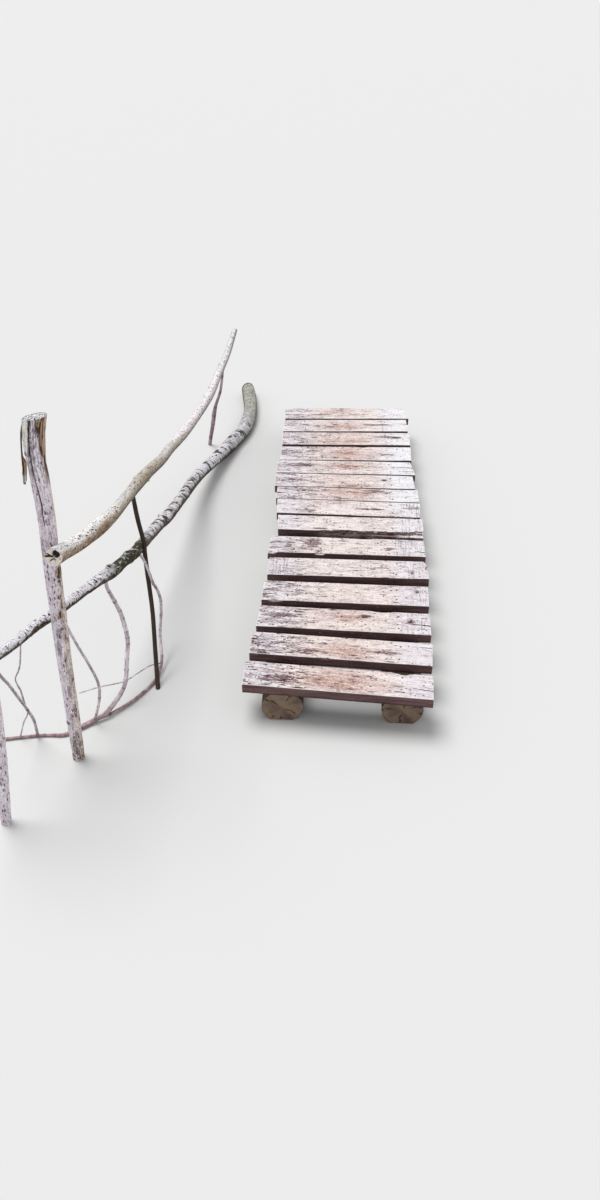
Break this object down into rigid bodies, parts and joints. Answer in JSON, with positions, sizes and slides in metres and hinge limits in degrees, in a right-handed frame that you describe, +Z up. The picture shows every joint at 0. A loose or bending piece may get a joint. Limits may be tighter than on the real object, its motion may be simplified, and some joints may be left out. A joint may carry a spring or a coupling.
{
  "type": "wooden footbridge with one pole handrail",
  "caption": "Narrow path footbridge: worn sawn boards laid crosswise on two hewn log bearers, with a rough handrail of crooked poles on a single post along its left side.",
  "frame": {"origin": "on the ground, in the middle of the outline of the whole bridge with its handrail", "axes": "+Z up, +Y along the deck from the end with the post to the far end, +X across the deck to the right, away from the handrail"},
  "size_m": [1.6997, 3.7478, 1.3329],
  "materials": {
    "deck_board": "weathered, rough sawn",
    "bearer_log": "dark, damp bark and hewn flats",
    "bare_post": "weathered, bark peeled off",
    "tan_bark": "smooth speckled bark",
    "pale_bark": "rough bark with lichen",
    "dark_stake": "dark, damp bark",
    "thin_branch": "dry grey bark"
  },
  "bodies": {
    "root": {"plank_01": "deck_board", "plank_02": "deck_board", "plank_03": "deck_board", "plank_04": "deck_board", "plank_05": "deck_board", "plank_06": "deck_board", "plank_07": "deck_board", "plank_08": "deck_board", "plank_09": "deck_board", "plank_10": "deck_board", "plank_11": "deck_board", "plank_12": "deck_board", "plank_13": "deck_board", "plank_14": "deck_board", "plank_15": "deck_board", "bearer_left": "bearer_log", "bearer_right": "bearer_log", "rail_post": "bare_post", "upper_rail": "tan_bark", "lower_rail": "pale_bark", "rail_stake": "dark_stake", "far_prop": "thin_branch", "near_prop": "bare_post", "leaning_branch": "thin_branch"}
  },
  "joints": []
}
